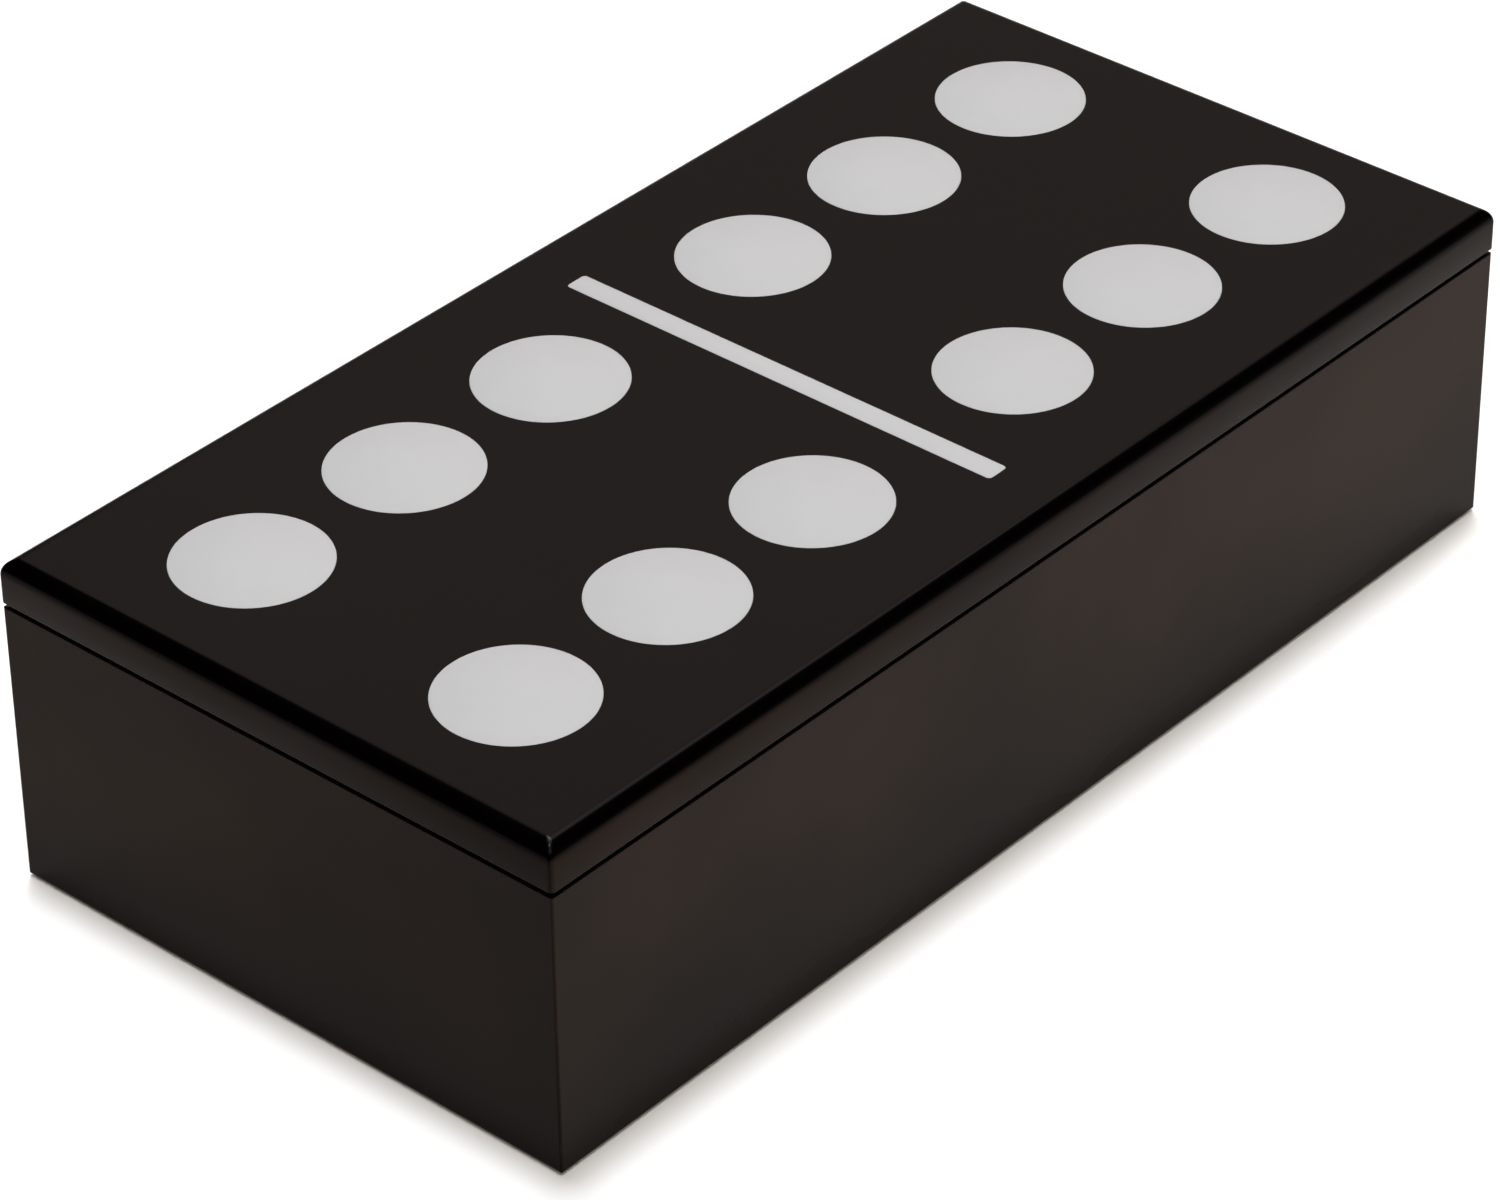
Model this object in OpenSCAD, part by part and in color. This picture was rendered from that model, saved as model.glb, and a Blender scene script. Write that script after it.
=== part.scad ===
// Domino storage box: a lacquered case with a lift-off lid that is inlaid as a double-six domino.
// The origin is the middle of the footprint on the table; X runs along the box and Z is up.

/* [Case] */
// Length of the case, left to right
case_l = 269.2; // [262:0.1:320]
// Width of the case, front to back
case_w = 132.5; // [126:0.1:170]
// Height of the case from the table to its rim
case_h = 60.1; // [50:0.1:90]
// Thickness of the four walls
wall_t = 9; // [7:0.5:14]
// Radius sanded on the long edges of the walls and round the foot of the lid
edge_ease = 0.3; // [0.2:0.1:0.8]
// Radius sanded on the upright corners of the case
corner_ease = 0.5; // [0.2:0.1:2]

/* [Bottom] */
// Thickness of the bottom panel
bottom_t = 4; // [3:0.5:6]
// How far the bottom panel is let into each wall
bottom_lap = 4.5; // [2:0.5:6]
// Thickness of the felt under the box
foot_felt_t = 1.4; // [0.6:0.1:2]
// How far the felt holds the feet of the walls off the table
foot_stand = 0.8; // [0:0.1:1]
// Border left bare round the felt inside its recess
foot_felt_border = 0.4; // [0.1:0.1:2]

/* [Lining] */
// Thickness of the velvet-covered card on the walls and the floor
lining_t = 1.2; // [0.8:0.1:2.5]
// Air between the top edge of the wall lining and the closed lid
lining_headroom = 0.6; // [0.4:0.1:6]

/* [Dividers] */
// Thickness of the two velvet-covered dividers
divider_t = 5; // [3:0.5:8]
// Height of the dividers above the floor lining
divider_h = 30; // [16:1:42]
// Clearance all round where the two dividers are halved over each other
lap_gap = 0.1; // [0.05:0.05:0.3]

/* [Lid] */
// Thickness of the lid board
lid_t = 10; // [8:0.1:16]
// How far the lid stands out past the case on every side
lid_overhang = 0.2; // [0:0.05:2]
// Radius routed along the four top edges of the lid
lid_round = 3.2; // [1:0.1:7]
// Radius sanded on the upright corners of the lid
lid_corner = 1.4; // [0.2:0.1:3]
// Height of the shadow line that is rebated round the foot of the lid
seam_h = 0.9; // [0.4:0.1:1.5]
// Depth of the shadow line
seam_d = 2; // [1:0.1:4]
// Thickness of the locating panel under the lid
locator_t = 5; // [3:0.5:8]
// Clearance between the locating panel and the walls
locator_gap = 0.6; // [0.3:0.1:1.5]
// Lead-in radius round the lower edge of the locating panel
locator_round = 1.5; // [0.5:0.5:2.5]
// Thickness of the velvet under the locating panel
lid_lining_t = 1; // [0.5:0.1:2]

/* [Inlays] */
// Diameter of a pip
pip_d = 30; // [20:0.5:36]
// Distance from the bar's centre line to the middle of the first pips on either side
pip_start = 28.5; // [22:0.1:32]
// Distance from the ends of the lid to the middle of the last pips
pip_end_margin = 28.2; // [24:0.1:36]
// Distance from the long edges of the lid to the middle of each row of pips
pip_row_margin = 34.65; // [22:0.05:44]
// Distance from the long edges of the lid to the ends of the bar
bar_margin = 14.9; // [8:0.1:40]
// Width of the bar
bar_w = 5.1; // [3:0.1:10]
// Corner radius of the bar
bar_round = 0.8; // [0.3:0.1:1.4]
// Thickness of the pips and the bar, which finish flush with the lid
inlay_t = 0.8; // [0.4:0.1:2]
// Glue line round each inlay in its pocket
inlay_gap = 0.05; // [0.02:0.01:0.1]
// How far the whole pattern lies towards the right end of the lid
pattern_shift = 0.9; // [-3:0.1:3]

/* [Fits] */
// Clearance between glued-in panels and linings and what surrounds them
fit_gap = 0.1; // [0.05:0.05:0.3]

/* [Hidden] */
$fn = 96;
eps = 0.01;
pips_in_row = 6;
rows = [["front_pip_", -1], ["back_pip_", 1]];

lacquer = "#2a2522";
board = "#1c1917";
inlay = "#d2d2d1";
velvet = "#2e2c30";
felt = "#1a1a1b";

// Clear space between the bare walls
inner_l = case_l - 2 * wall_t;
inner_w = case_w - 2 * wall_t;
// Clear space between the wall linings
well_l = inner_l - 2 * lining_t;
well_w = inner_w - 2 * lining_t;
wall_h = case_h - foot_stand;
bottom_z = foot_felt_t + bottom_t;
floor_z = bottom_z + lining_t;
locator_z = case_h - locator_t;
lid_lining_z = locator_z - lid_lining_t;
lining_h = lid_lining_z - lining_headroom - floor_z;
lid_l = case_l + 2 * lid_overhang;
lid_w = case_w + 2 * lid_overhang;
lid_top = case_h + lid_t;
locator_l = inner_l - 2 * locator_gap;
locator_w = inner_w - 2 * locator_gap;
// The pips of each half are spread evenly between the bar and the end of the lid
pips_in_half = pips_in_row / 2;
pip_pitch = (lid_l / 2 - pip_end_margin - pip_start) / (pips_in_half - 1);
pip_row = lid_w / 2 - pip_row_margin;
bar_l = lid_w - 2 * bar_margin;

// What is cut off a square corner at the origin to leave a quarter round of radius r
module corner_waste(r) {
    difference() {
        translate([-eps, -eps])
            square(r + eps);
        translate([r, r])
            circle(r);
    }
}

// Rectangle on the X axis with its own radius at the low, high-left and high-right corners
module eased_profile(w, h, low_left, low_right, high_left, high_right) {
    difference() {
        square([w, h]);
        if (low_left > 0)
            corner_waste(low_left);
        if (low_right > 0)
            translate([w, 0])
                mirror([1, 0])
                    corner_waste(low_right);
        if (high_left > 0)
            translate([0, h])
                mirror([0, 1])
                    corner_waste(high_left);
        if (high_right > 0)
            translate([w, h])
                rotate(180)
                    corner_waste(high_right);
    }
}

// Rectangle centred on the origin with four equal corner radii
module rounded_plan(l, w, r) {
    translate([-l / 2, -w / 2])
        eased_profile(l, w, r, r, r, r);
}

// Carries a profile in X and Y to an upright one that runs along X for a length
module run_along_x(length) {
    rotate([90, 0, 90])
        linear_extrude(length, center = true)
            children();
}

// Rim profile of a block, upright and centred on X, for a block that runs in Y
module rim_profile(w, h, low_r, high_r) {
    translate([-w / 2, 0])
        eased_profile(w, h, low_r, low_r, high_r, high_r);
}

// Block on z = 0 with its rims routed from all four sides, so that the routed edges mitre
module routed_block(l, w, h, low_r, high_r, corner_r) {
    intersection() {
        run_along_x(l)
            rim_profile(w, h, low_r, high_r);
        rotate(90)
            run_along_x(w)
                rim_profile(l, h, low_r, high_r);
        linear_extrude(h)
            rounded_plan(l, w, corner_r);
    }
}

// Upright board that runs along X and has a full round along its top edge
module wrapped_board(length, t, h) {
    run_along_x(length)
        translate([-t / 2, 0])
            eased_profile(t, h, 0, 0, t / 2, t / 2);
}

// Wall section: outer face on x = 0, both top edges and the outer foot eased, rebated for the bottom
module wall_section() {
    difference() {
        eased_profile(wall_t, wall_h, edge_ease, 0, edge_ease, edge_ease);
        translate([wall_t - bottom_lap, -eps])
            square([bottom_lap + eps, bottom_z - foot_stand + eps]);
    }
}

// Wall of a given length, raised and moved out to its place and mitred at 45 degrees at both ends
module mitred_wall(length, out) {
    tip = length / 2;
    heel = tip - wall_t;
    translate([0, -out, foot_stand])
        intersection() {
            run_along_x(length)
                wall_section();
            linear_extrude(wall_h)
                polygon([[-tip, 0], [tip, 0], [heel, wall_t], [-heel, wall_t]]);
        }
}

// Trims the mitred tips of a wall to the sanded upright corners of the case
module sand_corners() {
    intersection() {
        children();
        linear_extrude(case_h)
            rounded_plan(case_l, case_w, corner_ease);
    }
}

module front_wall() {
    color(lacquer)
        sand_corners()
            mitred_wall(case_l, case_w / 2);
}

module back_wall() {
    color(lacquer)
        sand_corners()
            rotate(180)
                mitred_wall(case_l, case_w / 2);
}

module left_wall() {
    color(lacquer)
        sand_corners()
            rotate(-90)
                mitred_wall(case_w, case_l / 2);
}

module right_wall() {
    color(lacquer)
        sand_corners()
            rotate(90)
                mitred_wall(case_w, case_l / 2);
}

module bottom_panel() {
    grow = 2 * (bottom_lap - fit_gap);
    color(board)
        translate([0, 0, foot_felt_t])
            linear_extrude(bottom_t)
                square([inner_l + grow, inner_w + grow], center = true);
}

module foot_felt() {
    grow = 2 * (bottom_lap - foot_felt_border);
    color(felt)
        linear_extrude(foot_felt_t)
            square([inner_l + grow, inner_w + grow], center = true);
}

module floor_lining() {
    color(velvet)
        translate([0, 0, bottom_z])
            linear_extrude(lining_t)
                square([inner_l - 2 * fit_gap, inner_w - 2 * fit_gap], center = true);
}

// Lining along one long wall, against which the short linings butt
module long_lining(side) {
    color(velvet)
        translate([0, side * (inner_w - lining_t) / 2, floor_z])
            wrapped_board(inner_l - 2 * fit_gap, lining_t, lining_h);
}

// Lining along one short wall, between the two long linings
module short_lining(side) {
    color(velvet)
        translate([side * (inner_l - lining_t) / 2, 0, floor_z])
            rotate(90)
                wrapped_board(well_w - 2 * fit_gap, lining_t, lining_h);
}

module front_lining() {
    long_lining(-1);
}

module back_lining() {
    long_lining(1);
}

module left_lining() {
    short_lining(-1);
}

module right_lining() {
    short_lining(1);
}

// Slot that takes the other divider where the two are halved over each other
module divider_slot(low, high) {
    translate([-divider_t / 2 - lap_gap, -divider_t, low])
        cube([divider_t + 2 * lap_gap, 2 * divider_t, high - low]);
}

// Divider along the box, slotted from above
module long_divider() {
    color(velvet)
        translate([0, 0, floor_z])
            difference() {
                wrapped_board(well_l - 2 * fit_gap, divider_t, divider_h);
                divider_slot(divider_h / 2, divider_h + eps);
            }
}

// Divider across the box, slotted from below
module cross_divider() {
    color(velvet)
        translate([0, 0, floor_z])
            rotate(90)
                difference() {
                    wrapped_board(well_w - 2 * fit_gap, divider_t, divider_h);
                    divider_slot(-eps, divider_h / 2);
                }
}

// Centre of a pip, counted from the left end; the bar lies between the third and the fourth
function pip_x(i) =
    let (from_bar = i < pips_in_half ? pips_in_half - 1 - i : i - pips_in_half)
    pattern_shift + (i < pips_in_half ? -1 : 1) * (pip_start + from_bar * pip_pitch);

// Pip outline, grown by the glue line for its pocket
module pip_plan(i, side, grow) {
    translate([pip_x(i), side * pip_row])
        circle(d = pip_d + 2 * grow);
}

// Bar outline, grown by the glue line for its pocket
module bar_plan(grow) {
    translate([pattern_shift, 0])
        rounded_plan(bar_w + 2 * grow, bar_l + 2 * grow, bar_round + grow);
}

// Runs an inlay outline down from the face of the lid
module from_lid_face(over) {
    translate([0, 0, lid_top - inlay_t])
        linear_extrude(inlay_t + over)
            children();
}

// Lid board before it is inlaid, on z = 0: it rests on a seat inside the shadow line
module lid_blank() {
    translate([0, 0, seam_h])
        routed_block(lid_l, lid_w, lid_t - seam_h, edge_ease, lid_round, lid_corner);
    linear_extrude(lid_t / 2)
        square([lid_l - 2 * seam_d, lid_w - 2 * seam_d], center = true);
}

module lid_board() {
    color(lacquer)
        difference() {
            translate([0, 0, case_h])
                lid_blank();
            from_lid_face(eps)
                bar_plan(inlay_gap);
            for (row = rows, i = [0:pips_in_row - 1])
                from_lid_face(eps)
                    pip_plan(i, row[1], inlay_gap);
        }
}

// Panel that drops between the walls and keeps the lid in place
module locating_panel() {
    color(board)
        translate([0, 0, locator_z])
            routed_block(locator_l, locator_w, locator_t, locator_round, 0, locator_round);
}

module lid_lining() {
    color(velvet)
        translate([0, 0, lid_lining_z])
            linear_extrude(lid_lining_t)
                square([locator_l - 2 * locator_round, locator_w - 2 * locator_round], center = true);
}

module bar_inlay() {
    color(inlay)
        from_lid_face(0)
            bar_plan(0);
}

module pip_inlay(i, side) {
    color(inlay)
        from_lid_face(0)
            pip_plan(i, side, 0);
}

front_wall();
back_wall();
left_wall();
right_wall();
bottom_panel();
foot_felt();
floor_lining();
front_lining();
back_lining();
left_lining();
right_lining();
long_divider();
cross_divider();
lid_board();
locating_panel();
lid_lining();
bar_inlay();
for (row = rows, i = [1:pips_in_row])
    pip_inlay(i - 1, row[1]);
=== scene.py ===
import math

import bpy
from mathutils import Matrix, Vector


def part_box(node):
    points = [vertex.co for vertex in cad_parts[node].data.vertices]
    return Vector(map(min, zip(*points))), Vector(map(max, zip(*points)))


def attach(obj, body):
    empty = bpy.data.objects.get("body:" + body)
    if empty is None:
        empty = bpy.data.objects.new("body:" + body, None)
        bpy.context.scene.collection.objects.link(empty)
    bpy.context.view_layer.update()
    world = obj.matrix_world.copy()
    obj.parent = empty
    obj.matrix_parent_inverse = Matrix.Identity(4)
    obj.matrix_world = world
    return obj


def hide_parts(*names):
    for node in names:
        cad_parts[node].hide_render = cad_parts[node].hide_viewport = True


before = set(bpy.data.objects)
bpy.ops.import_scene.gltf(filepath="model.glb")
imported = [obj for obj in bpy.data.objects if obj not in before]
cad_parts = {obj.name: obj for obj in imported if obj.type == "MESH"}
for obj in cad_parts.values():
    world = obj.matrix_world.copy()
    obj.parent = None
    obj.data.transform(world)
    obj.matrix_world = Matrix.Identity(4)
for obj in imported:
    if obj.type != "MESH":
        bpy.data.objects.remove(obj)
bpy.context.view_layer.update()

MM = 0.001
LENGTHWAYS = (1.0, 0.0, 0.0)
WIDTHWAYS = (0.0, 1.0, 0.0)

BOARDS = ["bottom_panel", "locating_panel"]
CARDS = ["floor_lining", "front_lining", "back_lining", "left_lining", "right_lining"]
PIPS = [f"{row}_pip_{i}" for row in ("front", "back") for i in range(1, 7)]

# Sizes of the lid board that its box does not give, in millimetres
LID_EDGE_ROUND = 3.2
LID_FOOT_EASE = 0.3
SHADOW_LINE_HIGH = 0.9
SHADOW_LINE_DEEP = 2.0
LID_CORNER_FOOT = 1.0
LID_CORNER_FACE = 0.5
FACE_MARGIN = 0.4

# Faces of the lid whose normal leans to an end by more than this, and more than to a side, take the
# lacquer of the ends
LEANS_ENDWAYS = 0.05

# Sides of a round inlay and of the floor
DISC_SIDES = 128

# Steps in the lid's curves: up its routed edge, up its eased foot, round its mitres and round the
# corners of its bar
EDGE_STEPS = 16
FOOT_STEPS = 4
MITRE_STEPS = 8
BAR_CORNER_STEPS = 6

# Inlays, in millimetres: the joint round them, their broken rim and the bar's corners
GLUE_LINE = 0.05
INLAY_RIM = 0.1
BAR_CORNER = 0.8

# The tools that cut the pockets, in millimetres: how far they reach above the face and below the inlay
POCKET_ABOVE = 1.0
POCKET_BELOW = 0.02

# Covered boards, in millimetres: the spacing of their mesh and the slack left round them
CELL = 4.0
SLACK = 0.1

# Rounds of the velvet over the edges of its card, in millimetres: in the case and under the lid
CARD_RIM = 0.5
LID_LINING_RIM = 0.4

# Low swells in glued velvet, in millimetres across and high
SWELL_ACROSS = 9
SWELL_HIGH = 0.12

# Dividers: the round of their top as a share of their thickness, and in millimetres the reach and play
# of the slots in which they are halved over each other
DIVIDER_ROUND = 0.42
SLOT_REACH = 2.0
SLOT_PLAY = 0.2

# Foot felt, in millimetres: what is trimmed off its length and width, and the ease of its cut edge
FELT_TRIM = 0.3
FELT_EASE = 0.35

# Joining of points and finding of a level in a mesh, in millimetres
MERGE_WITHIN = 0.0005
LEVEL_WITHIN = 0.001

# Edges bent by less than this are shaded smooth, in degrees: hard pieces and cloth. Sharper edges of
# cloth and felt are rounded first.
SMOOTH_HARD = 40
SMOOTH_CLOTH = 60

# Colours of the lacquer: its ground, the brown of its painted reflection, the worn arrises and the pale tip
# of a mitre, which is a painted highlight
GROUND_BLACK = "#020101"
PAINTED_REFLECTION_BROWN = "#35271d"
WORN_ARRIS = "#3a3632"
PALE_TIP = "#504b46"

# The camera: its place and lens in millimetres and its turn in degrees
CAMERA_PLACE = (-705.893, -614.029, 665.096)
CAMERA_TURN = (55.4097, 0.5909, -49.0353)
CAMERA_LENS = 143.949
CAMERA_SENSOR = 36.0

# The overhead softbox: what it gives a level white sheet, its width and its tilt in degrees, its colour
SOFTBOX_LEVEL = 0.535
SOFTBOX_WIDTH = 7.2
SOFTBOX_TILT = (-3.3, 2.3, 0.0)
SOFTBOX_COLOUR = (0.96, 1.0, 1.04)

# The floor's radius in metres and how far its paper is lifted to white, and the glow of the dim room
FLOOR_RADIUS = 6.0
PAPER_LIFT = 0.06
ROOM_GLOW = (0.008, 0.008, 0.008)


# ------------------------------------------------------------- nodes and colours


def linear(hex_colour):
    """Linear colour, with alpha, of an sRGB hex value."""
    channels = [int(hex_colour[i:i + 2], 16) / 255 for i in (1, 3, 5)]
    lin = [c / 12.92 if c <= 0.04045 else ((c + 0.055) / 1.055) ** 2.4 for c in channels]
    return (*lin, 1.0)


def add(tree, kind, sockets=None, **settings):
    """Adds a node; sockets gives inputs by name or number, each a value or another node's output."""
    node = tree.nodes.new(kind)
    for name, value in settings.items():
        setattr(node, name, value)
    for name, value in (sockets or {}).items():
        if isinstance(value, bpy.types.NodeSocket):
            tree.links.new(value, node.inputs[name])
        else:
            node.inputs[name].default_value = value
    return node


def new_material(name):
    """A material with an empty node tree."""
    material = bpy.data.materials.new(name)
    material.use_nodes = True
    material.node_tree.nodes.clear()
    return material


def finish_material(material, shader):
    """Joins the shader to the material's output."""
    add(material.node_tree, "ShaderNodeOutputMaterial", {"Surface": shader.outputs[0]})
    return material


def per_metre(millimetres):
    """Noise scale whose features are about this many millimetres across."""
    return 1000.0 / millimetres


# ------------------------------------------------------------- materials


def black_with_painted_reflection(tree, point, clouds, start, full, way, near, far):
    """Black with a thin brown bloom on the upright faces.

    The brown is mostly a painted reflection of the floor and room in the lacquer, and in part the haze of
    the rubbing. It comes in between the heights start and full, in millimetres, so that on the walls it is
    painted darker towards the floor, where the box's shadow would be mirrored. way is a level direction,
    and near and far are how strong it is 100 mm to either side of the middle that way.
    """
    span = 100 * MM
    height = add(tree, "ShaderNodeSeparateXYZ", {0: point}).outputs["Z"]
    rise = add(tree, "ShaderNodeMapRange",
               {"Value": height, "From Min": start * MM, "From Max": full * MM},
               interpolation_type="SMOOTHSTEP")
    along = add(tree, "ShaderNodeVectorMath", {0: point, 1: way}, operation="DOT_PRODUCT")
    along = add(tree, "ShaderNodeMapRange",
                {"Value": along.outputs["Value"], "From Min": -span, "From Max": span, "To Min": near,
                 "To Max": far})
    # The clouds make the painted reflection up to a quarter weaker or stronger
    cloudy = add(tree, "ShaderNodeMapRange",
                 {"Value": clouds, "From Min": 0.35, "From Max": 0.65, "To Min": 0.75, "To Max": 1.25})
    painted_reflection = add(tree, "ShaderNodeMath", {0: rise.outputs[0], 1: along.outputs[0]}, operation="MULTIPLY")
    painted_reflection = add(tree, "ShaderNodeMath", {0: painted_reflection.outputs[0], 1: cloudy.outputs[0]}, operation="MULTIPLY")
    # The painted reflection is kept off level faces, which face the lamps and not the floor
    true_way = add(tree, "ShaderNodeNewGeometry").outputs["Normal"]
    upward = add(tree, "ShaderNodeSeparateXYZ", {0: true_way}).outputs["Z"]
    upright = add(tree, "ShaderNodeMapRange",
                  {"Value": upward, "From Min": 0.25, "From Max": 0.75, "To Min": 1.0, "To Max": 0.0})
    painted_reflection = add(tree, "ShaderNodeMath", {0: painted_reflection.outputs[0], 1: upright.outputs[0]}, operation="MULTIPLY")
    # Black ground, browned where the reflection is painted in
    colour = add(tree, "ShaderNodeMix", {"Factor": painted_reflection.outputs[0], "A": linear(GROUND_BLACK),
                                         "B": linear(PAINTED_REFLECTION_BROWN)}, data_type="RGBA")
    return colour.outputs["Result"]


def worn_arrises(tree, point, colour):
    """The colour, paler in specks along the arrises, where a softened normal leaves the true one."""
    true_way = add(tree, "ShaderNodeNewGeometry").outputs["Normal"]
    soft_way = add(tree, "ShaderNodeBevel", {"Radius": 0.25 * MM}, samples=6).outputs[0]
    match = add(tree, "ShaderNodeVectorMath", {0: true_way, 1: soft_way}, operation="DOT_PRODUCT")
    arris = add(tree, "ShaderNodeMapRange",
                {"Value": match.outputs["Value"], "From Min": 0.97, "From Max": 0.80})
    specks = add(tree, "ShaderNodeTexNoise", {"Vector": point, "Scale": per_metre(2.5), "Detail": 2.0})
    worn = add(tree, "ShaderNodeMapRange", {"Value": specks.outputs[0], "From Min": 0.60, "From Max": 0.74})
    wear = add(tree, "ShaderNodeMath", {0: arris.outputs[0], 1: worn.outputs[0]}, operation="MULTIPLY")
    worn_colour = add(tree, "ShaderNodeMix", {"Factor": wear.outputs[0], "A": colour,
                                              "B": linear(WORN_ARRIS)}, data_type="RGBA")
    return worn_colour.outputs["Result"]


def pale_tip(tree, point, colour):
    """The colour, paler at the tip of the lid's front left mitre, in place of a small highlight there."""
    lid_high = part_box("lid_board")[1]
    end = lid_high[0]
    longer = end - lid_high[1]
    # The front left corner has negative X and Y, so the point is turned round to measure from it
    flipped = add(tree, "ShaderNodeVectorMath", {0: point, 3: -1.0}, operation="SCALE")
    flipped = add(tree, "ShaderNodeSeparateXYZ", {0: flipped.outputs[0]})
    # Across the mitre it is even for a tenth of a millimetre to either side and then fades
    even = 0.1 * MM
    gone = 0.75 * MM
    across = add(tree, "ShaderNodeMath", {0: flipped.outputs["X"], 1: flipped.outputs["Y"]},
                 operation="SUBTRACT")
    across = add(tree, "ShaderNodeMath", {0: across.outputs[0], 1: longer}, operation="SUBTRACT")
    across = add(tree, "ShaderNodeMath", {0: across.outputs[0]}, operation="ABSOLUTE")
    across = add(tree, "ShaderNodeMapRange",
                 {"Value": across.outputs[0], "From Min": even, "From Max": gone, "To Min": 1.0,
                  "To Max": 0.0}, interpolation_type="SMOOTHSTEP")
    # Along the mitre it is strongest where the round runs out into the face and fades down the round
    round_out = end - 2.85 * MM
    face = end - 3.1 * MM
    fading = 6.0
    down = add(tree, "ShaderNodeMapRange",
               {"Value": flipped.outputs["X"], "From Min": end, "From Max": round_out})
    down = add(tree, "ShaderNodeMath", {0: down.outputs[0], 1: fading}, operation="POWER")
    tip = add(tree, "ShaderNodeMapRange",
              {"Value": flipped.outputs["X"], "From Min": face, "From Max": round_out})
    tip = add(tree, "ShaderNodeMath", {0: tip.outputs[0], 1: down.outputs[0]}, operation="MULTIPLY")
    tip = add(tree, "ShaderNodeMath", {0: tip.outputs[0], 1: across.outputs[0]}, operation="MULTIPLY")
    paler = add(tree, "ShaderNodeMix", {"Factor": tip.outputs[0], "A": colour,
                                        "B": linear(PALE_TIP)}, data_type="RGBA")
    return paler.outputs["Result"]


def satin_black_lacquer(name, reflection, **painted_reflection):
    """Sprayed black nitrocellulose lacquer, rubbed down with fine wool to a satin sheen.

    It is all but black; what the eye reads is the soft reflection of what stands around it, broken a
    little by the cloudy marks of the rubbing, by a faint orange peel and by arrises rubbed paler.
    reflection is how strongly it mirrors the room, and the other settings say where the brown painted
    reflection lies. The walls, the lid and its ends have the same finish, made as four copies, each set
    lighter or darker in reflection and in painted reflection because each shows another part of the room.
    """
    material = new_material(name)
    tree = material.node_tree
    point = add(tree, "ShaderNodeTexCoord").outputs["Object"]
    # Cloudy rubbing marks, 70 mm across with finer detail in them
    clouds = add(tree, "ShaderNodeTexNoise", {"Vector": point, "Scale": per_metre(70), "Detail": 3.0,
                                              "Roughness": 0.55})
    # Fine straight rubbing scratches, 0.8 mm apart, seen only as a change of sheen
    grain_way = add(tree, "ShaderNodeMapping", {"Vector": point, "Scale": (0.04, 1.0, 1.0)})
    grain = add(tree, "ShaderNodeTexNoise", {"Vector": grain_way.outputs[0], "Scale": per_metre(0.8),
                                             "Detail": 2.0})
    # The brown on the upright faces is a painted reflection, darker towards the floor
    colour = black_with_painted_reflection(tree, point, clouds.outputs[0], **painted_reflection)
    colour = worn_arrises(tree, point, colour)
    colour = pale_tip(tree, point, colour)
    # Satin roughness, a little duller in the clouds and in the scratches
    smoothest = 0.155
    duller_in_clouds = 0.08
    duller_in_scratches = 0.03
    sheen = add(tree, "ShaderNodeMath", {0: clouds.outputs[0], 1: duller_in_clouds, 2: smoothest},
                operation="MULTIPLY_ADD")
    sheen = add(tree, "ShaderNodeMath", {0: grain.outputs[0], 1: duller_in_scratches, 2: sheen.outputs[0]},
                operation="MULTIPLY_ADD")
    # Orange peel, 1.3 mm across and well under a hundredth of a millimetre high
    peel = add(tree, "ShaderNodeTexNoise", {"Vector": point, "Scale": per_metre(1.3), "Detail": 1.0})
    bump = add(tree, "ShaderNodeBump", {"Height": peel.outputs[0], "Strength": 0.05, "Distance": 0.1 * MM})
    shader = add(tree, "ShaderNodeBsdfPrincipled",
                 {"Base Color": colour, "Roughness": sheen.outputs[0],
                  "Specular IOR Level": reflection, "Normal": bump.outputs[0]})
    return finish_material(material, shader)


def sprayed_black_board():
    """Fibreboard sealed and sprayed black: dull, with a fine tooth where the fibres stand up."""
    material = new_material("sprayed_black_board")
    tree = material.node_tree
    point = add(tree, "ShaderNodeTexCoord").outputs["Object"]
    fibres = add(tree, "ShaderNodeTexNoise", {"Vector": point, "Scale": per_metre(0.9), "Detail": 4.0})
    patches = add(tree, "ShaderNodeTexNoise", {"Vector": point, "Scale": per_metre(35), "Detail": 2.0})
    colour = add(tree, "ShaderNodeMix", {"Factor": patches.outputs[0], "A": linear("#100e0d"),
                                         "B": linear("#1c1917")}, data_type="RGBA")
    dull = add(tree, "ShaderNodeMapRange",
               {"Value": fibres.outputs[0], "From Min": 0.3, "From Max": 0.7, "To Min": 0.5,
                "To Max": 0.72})
    bump = add(tree, "ShaderNodeBump", {"Height": fibres.outputs[0], "Strength": 0.3, "Distance": 0.1 * MM})
    shader = add(tree, "ShaderNodeBsdfPrincipled",
                 {"Base Color": colour.outputs["Result"], "Roughness": dull.outputs[0],
                  "Specular IOR Level": 0.3, "Normal": bump.outputs[0]})
    return finish_material(material, shader)


def pale_grey_acrylic():
    """Cast acrylic sheet let in and rubbed flush with the lid: even pale grey with a silky face."""
    material = new_material("pale_grey_acrylic")
    tree = material.node_tree
    point = add(tree, "ShaderNodeTexCoord").outputs["Object"]
    mottle = add(tree, "ShaderNodeTexNoise", {"Vector": point, "Scale": per_metre(6), "Detail": 3.0})
    colour = add(tree, "ShaderNodeMix", {"Factor": mottle.outputs[0], "A": linear("#b6b7b9"),
                                         "B": linear("#babbbd")}, data_type="RGBA")
    scratches = add(tree, "ShaderNodeTexNoise", {"Vector": point, "Scale": per_metre(0.6), "Detail": 3.0})
    silky = add(tree, "ShaderNodeMapRange",
                {"Value": scratches.outputs[0], "From Min": 0.3, "From Max": 0.7, "To Min": 0.40,
                 "To Max": 0.50})
    shader = add(tree, "ShaderNodeBsdfPrincipled",
                 {"Base Color": colour.outputs["Result"], "Roughness": silky.outputs[0],
                  "Specular IOR Level": 0.2})
    return finish_material(material, shader)


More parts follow.
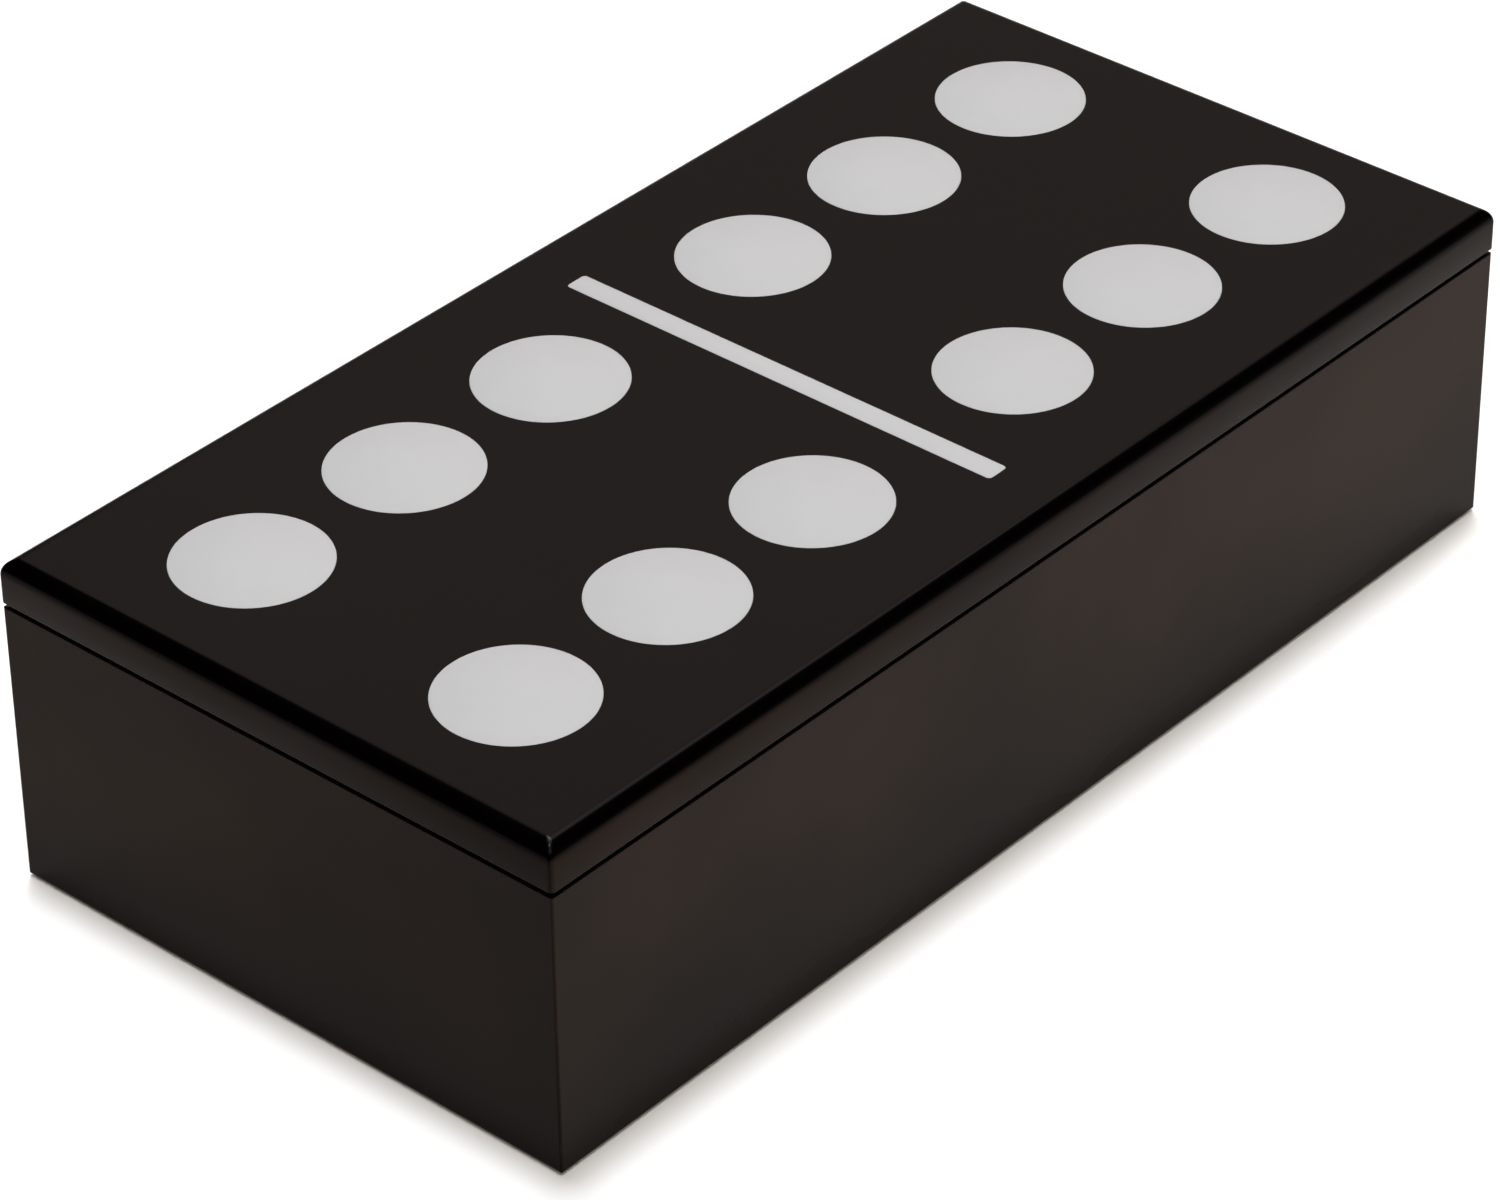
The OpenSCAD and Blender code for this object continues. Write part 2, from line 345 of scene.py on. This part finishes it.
def charcoal_velvet():
    """Short cotton velvet glued over card: deep charcoal, pale where the pile leans or is looked along."""
    material = new_material("charcoal_velvet")
    tree = material.node_tree
    point = add(tree, "ShaderNodeTexCoord").outputs["Object"]
    # Nap stroked this way and that, 22 mm across
    nap = add(tree, "ShaderNodeTexNoise", {"Vector": point, "Scale": per_metre(22), "Detail": 3.0,
                                           "Distortion": 0.6})
    # Pile tufts are 0.2 mm apart, drawn at 0.5 mm so that they show
    pile = add(tree, "ShaderNodeTexNoise", {"Vector": point, "Scale": per_metre(0.5), "Detail": 2.0})
    lean = add(tree, "ShaderNodeMapRange",
               {"Value": nap.outputs[0], "From Min": 0.35, "From Max": 0.65, "To Min": 0.0, "To Max": 0.75})
    lean = add(tree, "ShaderNodeMath", {0: pile.outputs[0], 1: 0.35, 2: lean.outputs[0]},
               operation="MULTIPLY_ADD")
    colour = add(tree, "ShaderNodeMix", {"Factor": lean.outputs[0], "A": linear("#242228"),
                                         "B": linear("#4b4752")}, data_type="RGBA")
    bump = add(tree, "ShaderNodeBump", {"Height": pile.outputs[0], "Strength": 0.5, "Distance": 0.25 * MM})
    shader = add(tree, "ShaderNodeBsdfPrincipled",
                 {"Base Color": colour.outputs["Result"], "Roughness": 0.95, "Specular IOR Level": 0.05,
                  "Sheen Weight": 0.55, "Sheen Roughness": 0.35, "Sheen Tint": linear("#b9b2c4"),
                  "Normal": bump.outputs[0]})
    return finish_material(material, shader)


def black_wool_felt():
    """Pressed wool felt: matt black with matted fibres and paler lint."""
    material = new_material("black_wool_felt")
    tree = material.node_tree
    point = add(tree, "ShaderNodeTexCoord").outputs["Object"]
    matting = add(tree, "ShaderNodeTexNoise", {"Vector": point, "Scale": per_metre(1.6), "Detail": 5.0,
                                               "Distortion": 1.2})
    colour = add(tree, "ShaderNodeMix", {"Factor": matting.outputs[0], "A": linear("#0b0b0c"),
                                         "B": linear("#262627")}, data_type="RGBA")
    bump = add(tree, "ShaderNodeBump", {"Height": matting.outputs[0], "Strength": 0.6,
                                        "Distance": 0.3 * MM})
    shader = add(tree, "ShaderNodeBsdfPrincipled",
                 {"Base Color": colour.outputs["Result"], "Roughness": 0.95, "Specular IOR Level": 0.1,
                  "Sheen Weight": 0.25, "Sheen Roughness": 0.5, "Normal": bump.outputs[0]})
    return finish_material(material, shader)


# ------------------------------------------------------------- modelling by hand


def start_piece(name):
    """Opens edit mode on a new, empty piece at the origin."""
    if bpy.context.object and bpy.context.object.mode != "OBJECT":
        bpy.ops.object.mode_set(mode="OBJECT")
    bpy.ops.object.select_all(action="DESELECT")
    bpy.ops.mesh.primitive_plane_add(size=MM)
    piece = bpy.context.object
    piece.name = name
    bpy.ops.object.mode_set(mode="EDIT")
    bpy.ops.mesh.select_mode(type="VERT")
    bpy.ops.mesh.select_all(action="SELECT")
    bpy.ops.mesh.delete(type="VERT")
    return piece


def end_piece(piece, material, body, smooth_below=SMOOTH_HARD):
    """Leaves edit mode, shades and dresses the piece and lets it ride on its body."""
    bpy.ops.mesh.select_all(action="SELECT")
    bpy.ops.mesh.remove_doubles(threshold=MERGE_WITHIN * MM)
    bpy.ops.mesh.normals_make_consistent(inside=False)
    bpy.ops.object.mode_set(mode="OBJECT")
    bpy.ops.object.shade_smooth_by_angle(angle=math.radians(smooth_below))
    piece.data.materials.clear()
    piece.data.materials.append(material)
    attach(piece, body)
    return piece


def add_ring(centre, length, width, z, corner, steps):
    """A flat rounded rectangle at height z, left selected; all sizes in metres."""
    middle = (centre[0], centre[1], z)
    bpy.ops.mesh.select_all(action="DESELECT")
    bpy.ops.mesh.primitive_plane_add(size=1.0, location=middle)
    bpy.ops.transform.resize(value=(length, width, 1.0), center_override=middle)
    bpy.ops.mesh.bevel(offset=corner, segments=steps, affect="VERTICES", clamp_overlap=False)


def apply_modifier(piece, kind, **settings):
    """Gives the piece a modifier with these settings and applies it."""
    bpy.ops.object.select_all(action="DESELECT")
    bpy.context.view_layer.objects.active = piece
    piece.select_set(True)
    modifier = piece.modifiers.new(kind.lower(), kind)
    for name, value in settings.items():
        setattr(modifier, name, value)
    bpy.ops.object.modifier_apply(modifier=modifier.name)


def combine(piece, tool, operation):
    """Joins the tool to the piece, or cuts it out, and removes the tool."""
    apply_modifier(piece, "BOOLEAN", object=tool, solver="EXACT", operation=operation)
    bpy.data.objects.remove(tool)


def middle_and_size(node):
    """Middle and size of a CAD node's box, in metres."""
    low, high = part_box(node)
    middle = [(a + b) / 2 for a, b in zip(low, high)]
    size = [b - a for a, b in zip(low, high)]
    return middle, size


def select_at_height(piece, z, kind):
    """Selects the edges or polygons of the open piece that lie at height z."""
    bpy.ops.mesh.select_mode(type="EDGE" if kind == "edges" else "FACE")
    bpy.ops.mesh.select_all(action="DESELECT")
    bpy.ops.object.mode_set(mode="OBJECT")
    for element in getattr(piece.data, kind):
        heights = [piece.data.vertices[i].co.z for i in element.vertices]
        element.select = max(abs(h - z) for h in heights) < LEVEL_WITHIN * MM
    bpy.ops.object.mode_set(mode="EDIT")


def add_block(middle, size):
    """A rectangular block in the open piece."""
    bpy.ops.mesh.primitive_cube_add(size=1.0, location=middle)
    bpy.ops.transform.resize(value=size, center_override=middle)


# ------------------------------------------------------------- the lid


def quarter(steps):
    """Angles of a quarter turn in equal steps."""
    return [math.pi / 2 * i / steps for i in range(steps + 1)]


def lid_levels(low, high):
    """Height, inset and corner radius of each level of the lid board, from its foot to its face."""
    levels = []
    ease = LID_FOOT_EASE * MM
    for a in quarter(FOOT_STEPS):
        levels.append((low + ease * (1 - math.sin(a)), ease * (1 - math.cos(a)), LID_CORNER_FOOT * MM))
    levels.reverse()
    edge = LID_EDGE_ROUND * MM
    taper = (LID_CORNER_FOOT - LID_CORNER_FACE) * MM
    for i, a in enumerate(quarter(EDGE_STEPS)):
        corner = LID_CORNER_FOOT * MM - taper * i / EDGE_STEPS
        levels.append((high - edge * (1 - math.sin(a)), edge * (1 - math.cos(a)), corner))
    return levels


def make_lid_seat(middle, size):
    """The tool that stands for the seat inside the shadow line under the lid."""
    deep = 2 * SHADOW_LINE_DEEP * MM
    high = size[2] / 2
    piece = start_piece("seat_tool")
    add_block((middle[0], middle[1], middle[2] - size[2] / 4), (size[0] - deep, size[1] - deep, high))
    bpy.ops.object.mode_set(mode="OBJECT")
    return piece


def make_lid_board(material, end_material):
    """The lid board with its routed edge, its softened mitres, its shadow line and its pockets."""
    middle, size = middle_and_size("lid_board")
    low = middle[2] - size[2] / 2
    high = middle[2] + size[2] / 2
    piece = start_piece("lid_board_lacquered")
    for z, inset, corner in lid_levels(low + SHADOW_LINE_HIGH * MM, high):
        add_ring(middle, size[0] - 2 * inset, size[1] - 2 * inset, z, corner, MITRE_STEPS)
    bpy.ops.mesh.select_all(action="SELECT")
    bpy.ops.mesh.delete(type="ONLY_FACE")
    bpy.ops.mesh.select_all(action="SELECT")
    bpy.ops.mesh.bridge_edge_loops()
    bpy.ops.mesh.select_all(action="DESELECT")
    bpy.ops.mesh.select_non_manifold()
    bpy.ops.mesh.fill_holes(sides=0)
    bpy.ops.mesh.select_all(action="SELECT")
    bpy.ops.mesh.normals_make_consistent(inside=False)
    select_at_height(piece, high, "polygons")
    bpy.ops.mesh.inset(thickness=FACE_MARGIN * MM)
    bpy.ops.object.mode_set(mode="OBJECT")
    combine(piece, make_lid_seat(middle, size), "UNION")
    glue = GLUE_LINE * MM
    above = POCKET_ABOVE * MM
    for node in PIPS:
        combine(piece, make_disc("pocket_tool", node, glue, above, 0), "DIFFERENCE")
    combine(piece, make_strip("pocket_tool", "bar_inlay", glue, above, 0), "DIFFERENCE")
    bpy.context.view_layer.objects.active = piece
    bpy.ops.object.mode_set(mode="EDIT")
    end_piece(piece, material, "lid")
    piece.data.materials.append(end_material)
    for polygon in piece.data.polygons:
        if abs(polygon.normal.x) > max(abs(polygon.normal.y), LEANS_ENDWAYS):
            polygon.material_index = 1
    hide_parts("lid_board")


def soften_rim(piece, z, rim):
    """Breaks the sharp edge at height z by a tiny round."""
    select_at_height(piece, z, "edges")
    bpy.ops.mesh.bevel(offset=rim, segments=2, affect="EDGES")
    bpy.ops.mesh.select_mode(type="VERT")


def make_disc(name, node, grow, over, rim):
    """A round inlay at a pip's place, or with grow and over the tool that cuts its pocket."""
    middle, size = middle_and_size(node)
    bottom = middle[2] - size[2] / 2 - (POCKET_BELOW * MM if over else 0)
    top = middle[2] + size[2] / 2 + over
    piece = start_piece(name)
    bpy.ops.mesh.primitive_cylinder_add(vertices=DISC_SIDES, radius=size[0] / 2 + grow, depth=top - bottom,
                                        location=(middle[0], middle[1], (top + bottom) / 2))
    if rim:
        soften_rim(piece, top, rim)
    else:
        bpy.ops.object.mode_set(mode="OBJECT")
    return piece


def make_strip(name, node, grow, over, rim):
    """The bar inlay with its rounded corners, or the tool that cuts its pocket."""
    middle, size = middle_and_size(node)
    bottom = middle[2] - size[2] / 2 - (POCKET_BELOW * MM if over else 0)
    top = middle[2] + size[2] / 2 + over
    piece = start_piece(name)
    add_ring(middle, size[0] + 2 * grow, size[1] + 2 * grow, bottom,
             BAR_CORNER * MM + grow, BAR_CORNER_STEPS)
    bpy.ops.mesh.extrude_region_move(TRANSFORM_OT_translate={"value": (0, 0, top - bottom)})
    bpy.ops.mesh.select_all(action="SELECT")
    bpy.ops.mesh.normals_make_consistent(inside=False)
    if rim:
        soften_rim(piece, top, rim)
    else:
        bpy.ops.object.mode_set(mode="OBJECT")
    return piece


def copy_to(first, name, offset):
    """A copy of a finished piece with its own mesh, moved by the offset."""
    bpy.ops.object.select_all(action="DESELECT")
    bpy.context.view_layer.objects.active = first
    first.select_set(True)
    bpy.ops.object.duplicate(linked=False)
    piece = bpy.context.object
    piece.name = name
    bpy.ops.object.mode_set(mode="EDIT")
    bpy.ops.mesh.select_all(action="SELECT")
    bpy.ops.transform.translate(value=offset)
    bpy.ops.object.mode_set(mode="OBJECT")
    return piece


def make_inlays(material):
    """Twelve discs, modelled once and copied, and the bar, their rims broken by a tenth of a millimetre."""
    first = make_disc(PIPS[0] + "_disc", PIPS[0], 0, 0, INLAY_RIM * MM)
    end_piece(first, material, "lid")
    start = middle_and_size(PIPS[0])[0]
    for node in PIPS[1:]:
        place = middle_and_size(node)[0]
        piece = copy_to(first, node + "_disc", [b - a for a, b in zip(start, place)])
        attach(piece, "lid")
        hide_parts(node)
    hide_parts(PIPS[0])
    piece = make_strip("bar_strip", "bar_inlay", 0, 0, INLAY_RIM * MM)
    end_piece(piece, material, "lid")
    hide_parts("bar_inlay")


# ------------------------------------------------------------- the covered boards and the felt


def start_sheet(name, middle, size):
    """A board of the given size as a fine grid of faces, open in edit mode."""
    thin = size.index(min(size))
    # Sides that run across the grid's own X and Y before it is turned upright
    across = [(2, 1), (0, 2), (0, 1)][thin]
    turn = ["Y", "X", None][thin]
    piece = start_piece(name)
    cells = [max(2, round(size[i] / (CELL * MM))) for i in across]
    bpy.ops.mesh.primitive_grid_add(x_subdivisions=cells[0], y_subdivisions=cells[1], size=1.0,
                                    location=middle)
    bpy.ops.transform.resize(value=(size[across[0]], size[across[1]], 1.0), center_override=middle)
    if turn:
        bpy.ops.transform.rotate(value=math.pi / 2, orient_axis=turn, center_override=middle)
    step = [0.0, 0.0, 0.0]
    step[thin] = -size[thin] / 2
    bpy.ops.transform.translate(value=step)
    step[thin] = size[thin]
    bpy.ops.mesh.extrude_region_move(TRANSFORM_OT_translate={"value": step})
    bpy.ops.mesh.select_all(action="SELECT")
    bpy.ops.mesh.normals_make_consistent(inside=False)
    return piece


def make_uneven(piece):
    """Gives the faces the low swells of glued cloth."""
    swell = bpy.data.textures.new(piece.name + "_swell", "CLOUDS")
    swell.noise_scale = SWELL_ACROSS * MM
    apply_modifier(piece, "DISPLACE", texture=swell, texture_coords="LOCAL",
                   strength=SWELL_HIGH * MM, mid_level=0.5)


def make_covered_card(node, rim, material, body):
    """Velvet drawn over card: its edges are rounded by the cloth and its faces a little uneven."""
    middle, size = middle_and_size(node)
    piece = start_sheet(node + "_velvet", middle, [s - 2 * SLACK * MM for s in size])
    bpy.ops.object.mode_set(mode="OBJECT")
    apply_modifier(piece, "BEVEL", width=rim * MM, segments=4, limit_method="ANGLE",
                   angle_limit=math.radians(SMOOTH_CLOTH))
    make_uneven(piece)
    bpy.ops.object.mode_set(mode="EDIT")
    end_piece(piece, material, body, SMOOTH_CLOTH)
    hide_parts(node)
    return piece


def make_divider(node, other, material):
    """A divider wrapped in velvet over a full round top, slotted where it is halved over the other."""
    middle, size = middle_and_size(node)
    low = middle[2] - size[2] / 2
    high = middle[2] + size[2] / 2
    thick = min(size)
    piece = start_sheet(node + "_velvet", middle, [s - 2 * SLACK * MM for s in size])
    select_at_height(piece, high - SLACK * MM, "edges")
    bpy.ops.mesh.region_to_loop()
    bpy.ops.mesh.bevel(offset=thick * DIVIDER_ROUND, segments=6, affect="EDGES")
    bpy.ops.object.mode_set(mode="OBJECT")
    crossing, gap = middle_and_size(other)
    reach = SLOT_REACH * MM
    slot_size = [2 * thick, 2 * thick, size[2] / 2 + reach]
    along = size.index(max(size))
    slot_size[along] = min(gap) + SLOT_PLAY * MM
    from_above = node == "long_divider"
    slot_z = high + reach - slot_size[2] / 2 if from_above else low - reach + slot_size[2] / 2
    tool = start_piece("slot_tool")
    add_block((crossing[0], middle[1], slot_z), slot_size)
    bpy.ops.object.mode_set(mode="OBJECT")
    combine(piece, tool, "DIFFERENCE")
    make_uneven(piece)
    bpy.ops.object.mode_set(mode="EDIT")
    end_piece(piece, material, "case", SMOOTH_CLOTH)
    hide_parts(node)


def make_foot_felt(material):
    """Pressed felt glued under the bottom, its cut edge a little furred."""
    middle, size = middle_and_size("foot_felt")
    trim = FELT_TRIM * MM
    piece = start_sheet("foot_felt_pressed", middle, [size[0] - trim, size[1] - trim, size[2]])
    bpy.ops.object.mode_set(mode="OBJECT")
    apply_modifier(piece, "BEVEL", width=FELT_EASE * MM, segments=3, limit_method="ANGLE",
                   angle_limit=math.radians(SMOOTH_CLOTH))
    bpy.ops.object.mode_set(mode="EDIT")
    end_piece(piece, material, "case", SMOOTH_CLOTH)
    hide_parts("foot_felt")


def dress(nodes, material):
    """Puts a material on CAD nodes."""
    for name in nodes:
        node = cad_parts[name]
        for slot in node.material_slots:
            slot.material = material


# ------------------------------------------------------------- camera and studio


def make_camera():
    """A long lens looking down on the front left corner."""
    data = bpy.data.cameras.new("camera")
    data.sensor_width = CAMERA_SENSOR
    data.lens = CAMERA_LENS
    camera = bpy.data.objects.new("camera", data)
    camera.location = [c * MM for c in CAMERA_PLACE]
    camera.rotation_euler = [math.radians(a) for a in CAMERA_TURN]
    bpy.context.scene.collection.objects.link(camera)
    bpy.context.scene.camera = camera


def floor_paper():
    """Matt white background paper."""
    material = new_material("white_background_paper")
    tree = material.node_tree
    point = add(tree, "ShaderNodeTexCoord").outputs["Object"]
    fibres = add(tree, "ShaderNodeTexNoise", {"Vector": point, "Scale": per_metre(4)})
    colour = add(tree, "ShaderNodeMix", {"Factor": fibres.outputs[0], "A": linear("#fdfdfd"),
                                         "B": linear("#ffffff")}, data_type="RGBA")
    paper = add(tree, "ShaderNodeBsdfDiffuse", {"Color": colour.outputs["Result"]})
    # Seen directly or in the lacquer, the paper is lifted to white without more light on the box
    ray = add(tree, "ShaderNodeLightPath")
    seen = add(tree, "ShaderNodeMath", {0: ray.outputs["Is Camera Ray"], 1: ray.outputs["Is Glossy Ray"]},
               operation="MAXIMUM")
    lift = add(tree, "ShaderNodeMath", {0: seen.outputs[0], 1: PAPER_LIFT}, operation="MULTIPLY")
    glow = add(tree, "ShaderNodeEmission", {"Color": linear("#ffe9dd"), "Strength": lift.outputs[0]})
    both = add(tree, "ShaderNodeAddShader", {0: paper.outputs[0], 1: glow.outputs[0]})
    return finish_material(material, both)


def make_floor():
    """A round sheet of paper, wide enough to fill the view."""
    bpy.ops.object.select_all(action="DESELECT")
    bpy.ops.mesh.primitive_circle_add(vertices=DISC_SIDES, radius=FLOOR_RADIUS, fill_type="NGON")
    floor = bpy.context.object
    floor.name = "floor"
    floor.data.materials.append(floor_paper())


def make_key_lamp():
    """A small overhead softbox, a little behind the box."""
    data = bpy.data.lights.new("overhead_softbox", "SUN")
    data.energy = SOFTBOX_LEVEL * math.pi
    data.angle = math.radians(SOFTBOX_WIDTH)
    data.color = SOFTBOX_COLOUR
    lamp = bpy.data.objects.new("overhead_softbox", data)
    lamp.rotation_euler = [math.radians(a) for a in SOFTBOX_TILT]
    bpy.context.scene.collection.objects.link(lamp)


def make_world():
    """A dim room with reflectors round the box."""
    world = bpy.data.worlds.new("studio")
    bpy.context.scene.world = world
    world.use_nodes = True
    tree = world.node_tree
    tree.nodes.clear()
    way = add(tree, "ShaderNodeTexCoord").outputs["Generated"]
    height = add(tree, "ShaderNodeSeparateXYZ", {0: way}).outputs["Z"]
    level = add(tree, "ShaderNodeVectorMath", {0: way, 1: (1.0, 1.0, 0.0)}, operation="MULTIPLY")
    level = add(tree, "ShaderNodeVectorMath", {0: level.outputs[0]}, operation="NORMALIZE").outputs[0]
    # Each has an azimuth and a half width in degrees, a softness, a colour, and its brightness against
    # the sine of the elevation. They stand opposite the camera, above that, low on the right, and high
    # behind the camera.
    reflectors = (
        (31.5, 25.5, 0.03, "#ffeae0", ((0.10, 0.0), (0.22, 0.8), (0.50, 1.04), (0.54, 1.65), (0.59, 3.1),
                                       (0.64, 1.6), (0.69, 0.9), (0.71, 0.0))),
        (30.5, 20.5, 0.03, "#fff8f4", ((0.69, 0.0), (0.72, 4.6), (0.77, 6.2), (0.84, 6.2), (0.87, 0.0))),
        (-60, 40, 0.10, "#ffffff", ((0.0, 0.45), (0.10, 0.30), (0.25, 0.10), (0.40, 0.0))),
        (230, 50, 0.10, "#fffaf3", ((0.74, 0.0), (0.80, 4.3), (0.98, 4.3), (0.995, 0.0))),
    )
    total = None
    for azimuth, half_width, softness, tint, steps in reflectors:
        out = (math.cos(math.radians(azimuth)), math.sin(math.radians(azimuth)), 0.0)
        facing = add(tree, "ShaderNodeVectorMath", {0: level, 1: out}, operation="DOT_PRODUCT")
        edge = math.cos(math.radians(half_width))
        inside = add(tree, "ShaderNodeMapRange",
                     {"Value": facing.outputs["Value"], "From Min": edge - softness,
                      "From Max": edge + softness})
        ramp = add(tree, "ShaderNodeValToRGB", {0: height})
        stops = ramp.color_ramp.elements
        while len(stops) < len(steps):
            stops.new(1.0)
        for stop, (position, strength) in zip(stops, steps):
            stop.position = position
            stop.color = [strength * c for c in linear(tint)[:3]] + [1.0]
        card = add(tree, "ShaderNodeVectorMath", {0: ramp.outputs["Color"], 3: inside.outputs[0]},
                   operation="SCALE")
        if total is None:
            total = card
        else:
            total = add(tree, "ShaderNodeVectorMath", {0: total.outputs[0], 1: card.outputs[0]},
                        operation="ADD")
    room = add(tree, "ShaderNodeVectorMath", {0: total.outputs[0], 1: ROOM_GLOW}, operation="ADD")
    light = add(tree, "ShaderNodeBackground", {"Color": room.outputs[0], "Strength": 1.0})
    add(tree, "ShaderNodeOutputWorld", {"Surface": light.outputs[0]})


# ------------------------------------------------------------- assembly

bpy.context.scene.view_settings.view_transform = "Standard"
make_camera()
make_floor()
make_key_lamp()
make_world()
# One finish in four copies, each with the strength and fade of its painted reflection set for the faces it
# covers
long_wall_lacquer = satin_black_lacquer("satin_black_lacquer_long_walls", reflection=0.043,
                                        start=-30, full=46, way=LENGTHWAYS, near=0.57, far=0.66)
end_wall_lacquer = satin_black_lacquer("satin_black_lacquer_end_walls", reflection=0.031,
                                       start=-30, full=44, way=WIDTHWAYS, near=0.28, far=0.50)
lid_lacquer = satin_black_lacquer("satin_black_lacquer_lid", reflection=0.032,
                                  start=68.5, full=67.2, way=LENGTHWAYS, near=0.48, far=0.30)
lid_end_lacquer = satin_black_lacquer("satin_black_lacquer_lid_ends", reflection=0.028,
                                      start=68.4, full=66.2, way=WIDTHWAYS, near=0.16, far=0.46)
make_lid_board(lid_lacquer, lid_end_lacquer)
make_inlays(pale_grey_acrylic())
dress(["front_wall", "back_wall"], long_wall_lacquer)
dress(["left_wall", "right_wall"], end_wall_lacquer)
dress(BOARDS, sprayed_black_board())
velvet = charcoal_velvet()
for card in CARDS:
    make_covered_card(card, CARD_RIM, velvet, "case")
lid_velvet = make_covered_card("lid_lining", LID_LINING_RIM, velvet, "lid")
make_divider("long_divider", "cross_divider", velvet)
make_divider("cross_divider", "long_divider", velvet)
make_foot_felt(black_wool_felt())
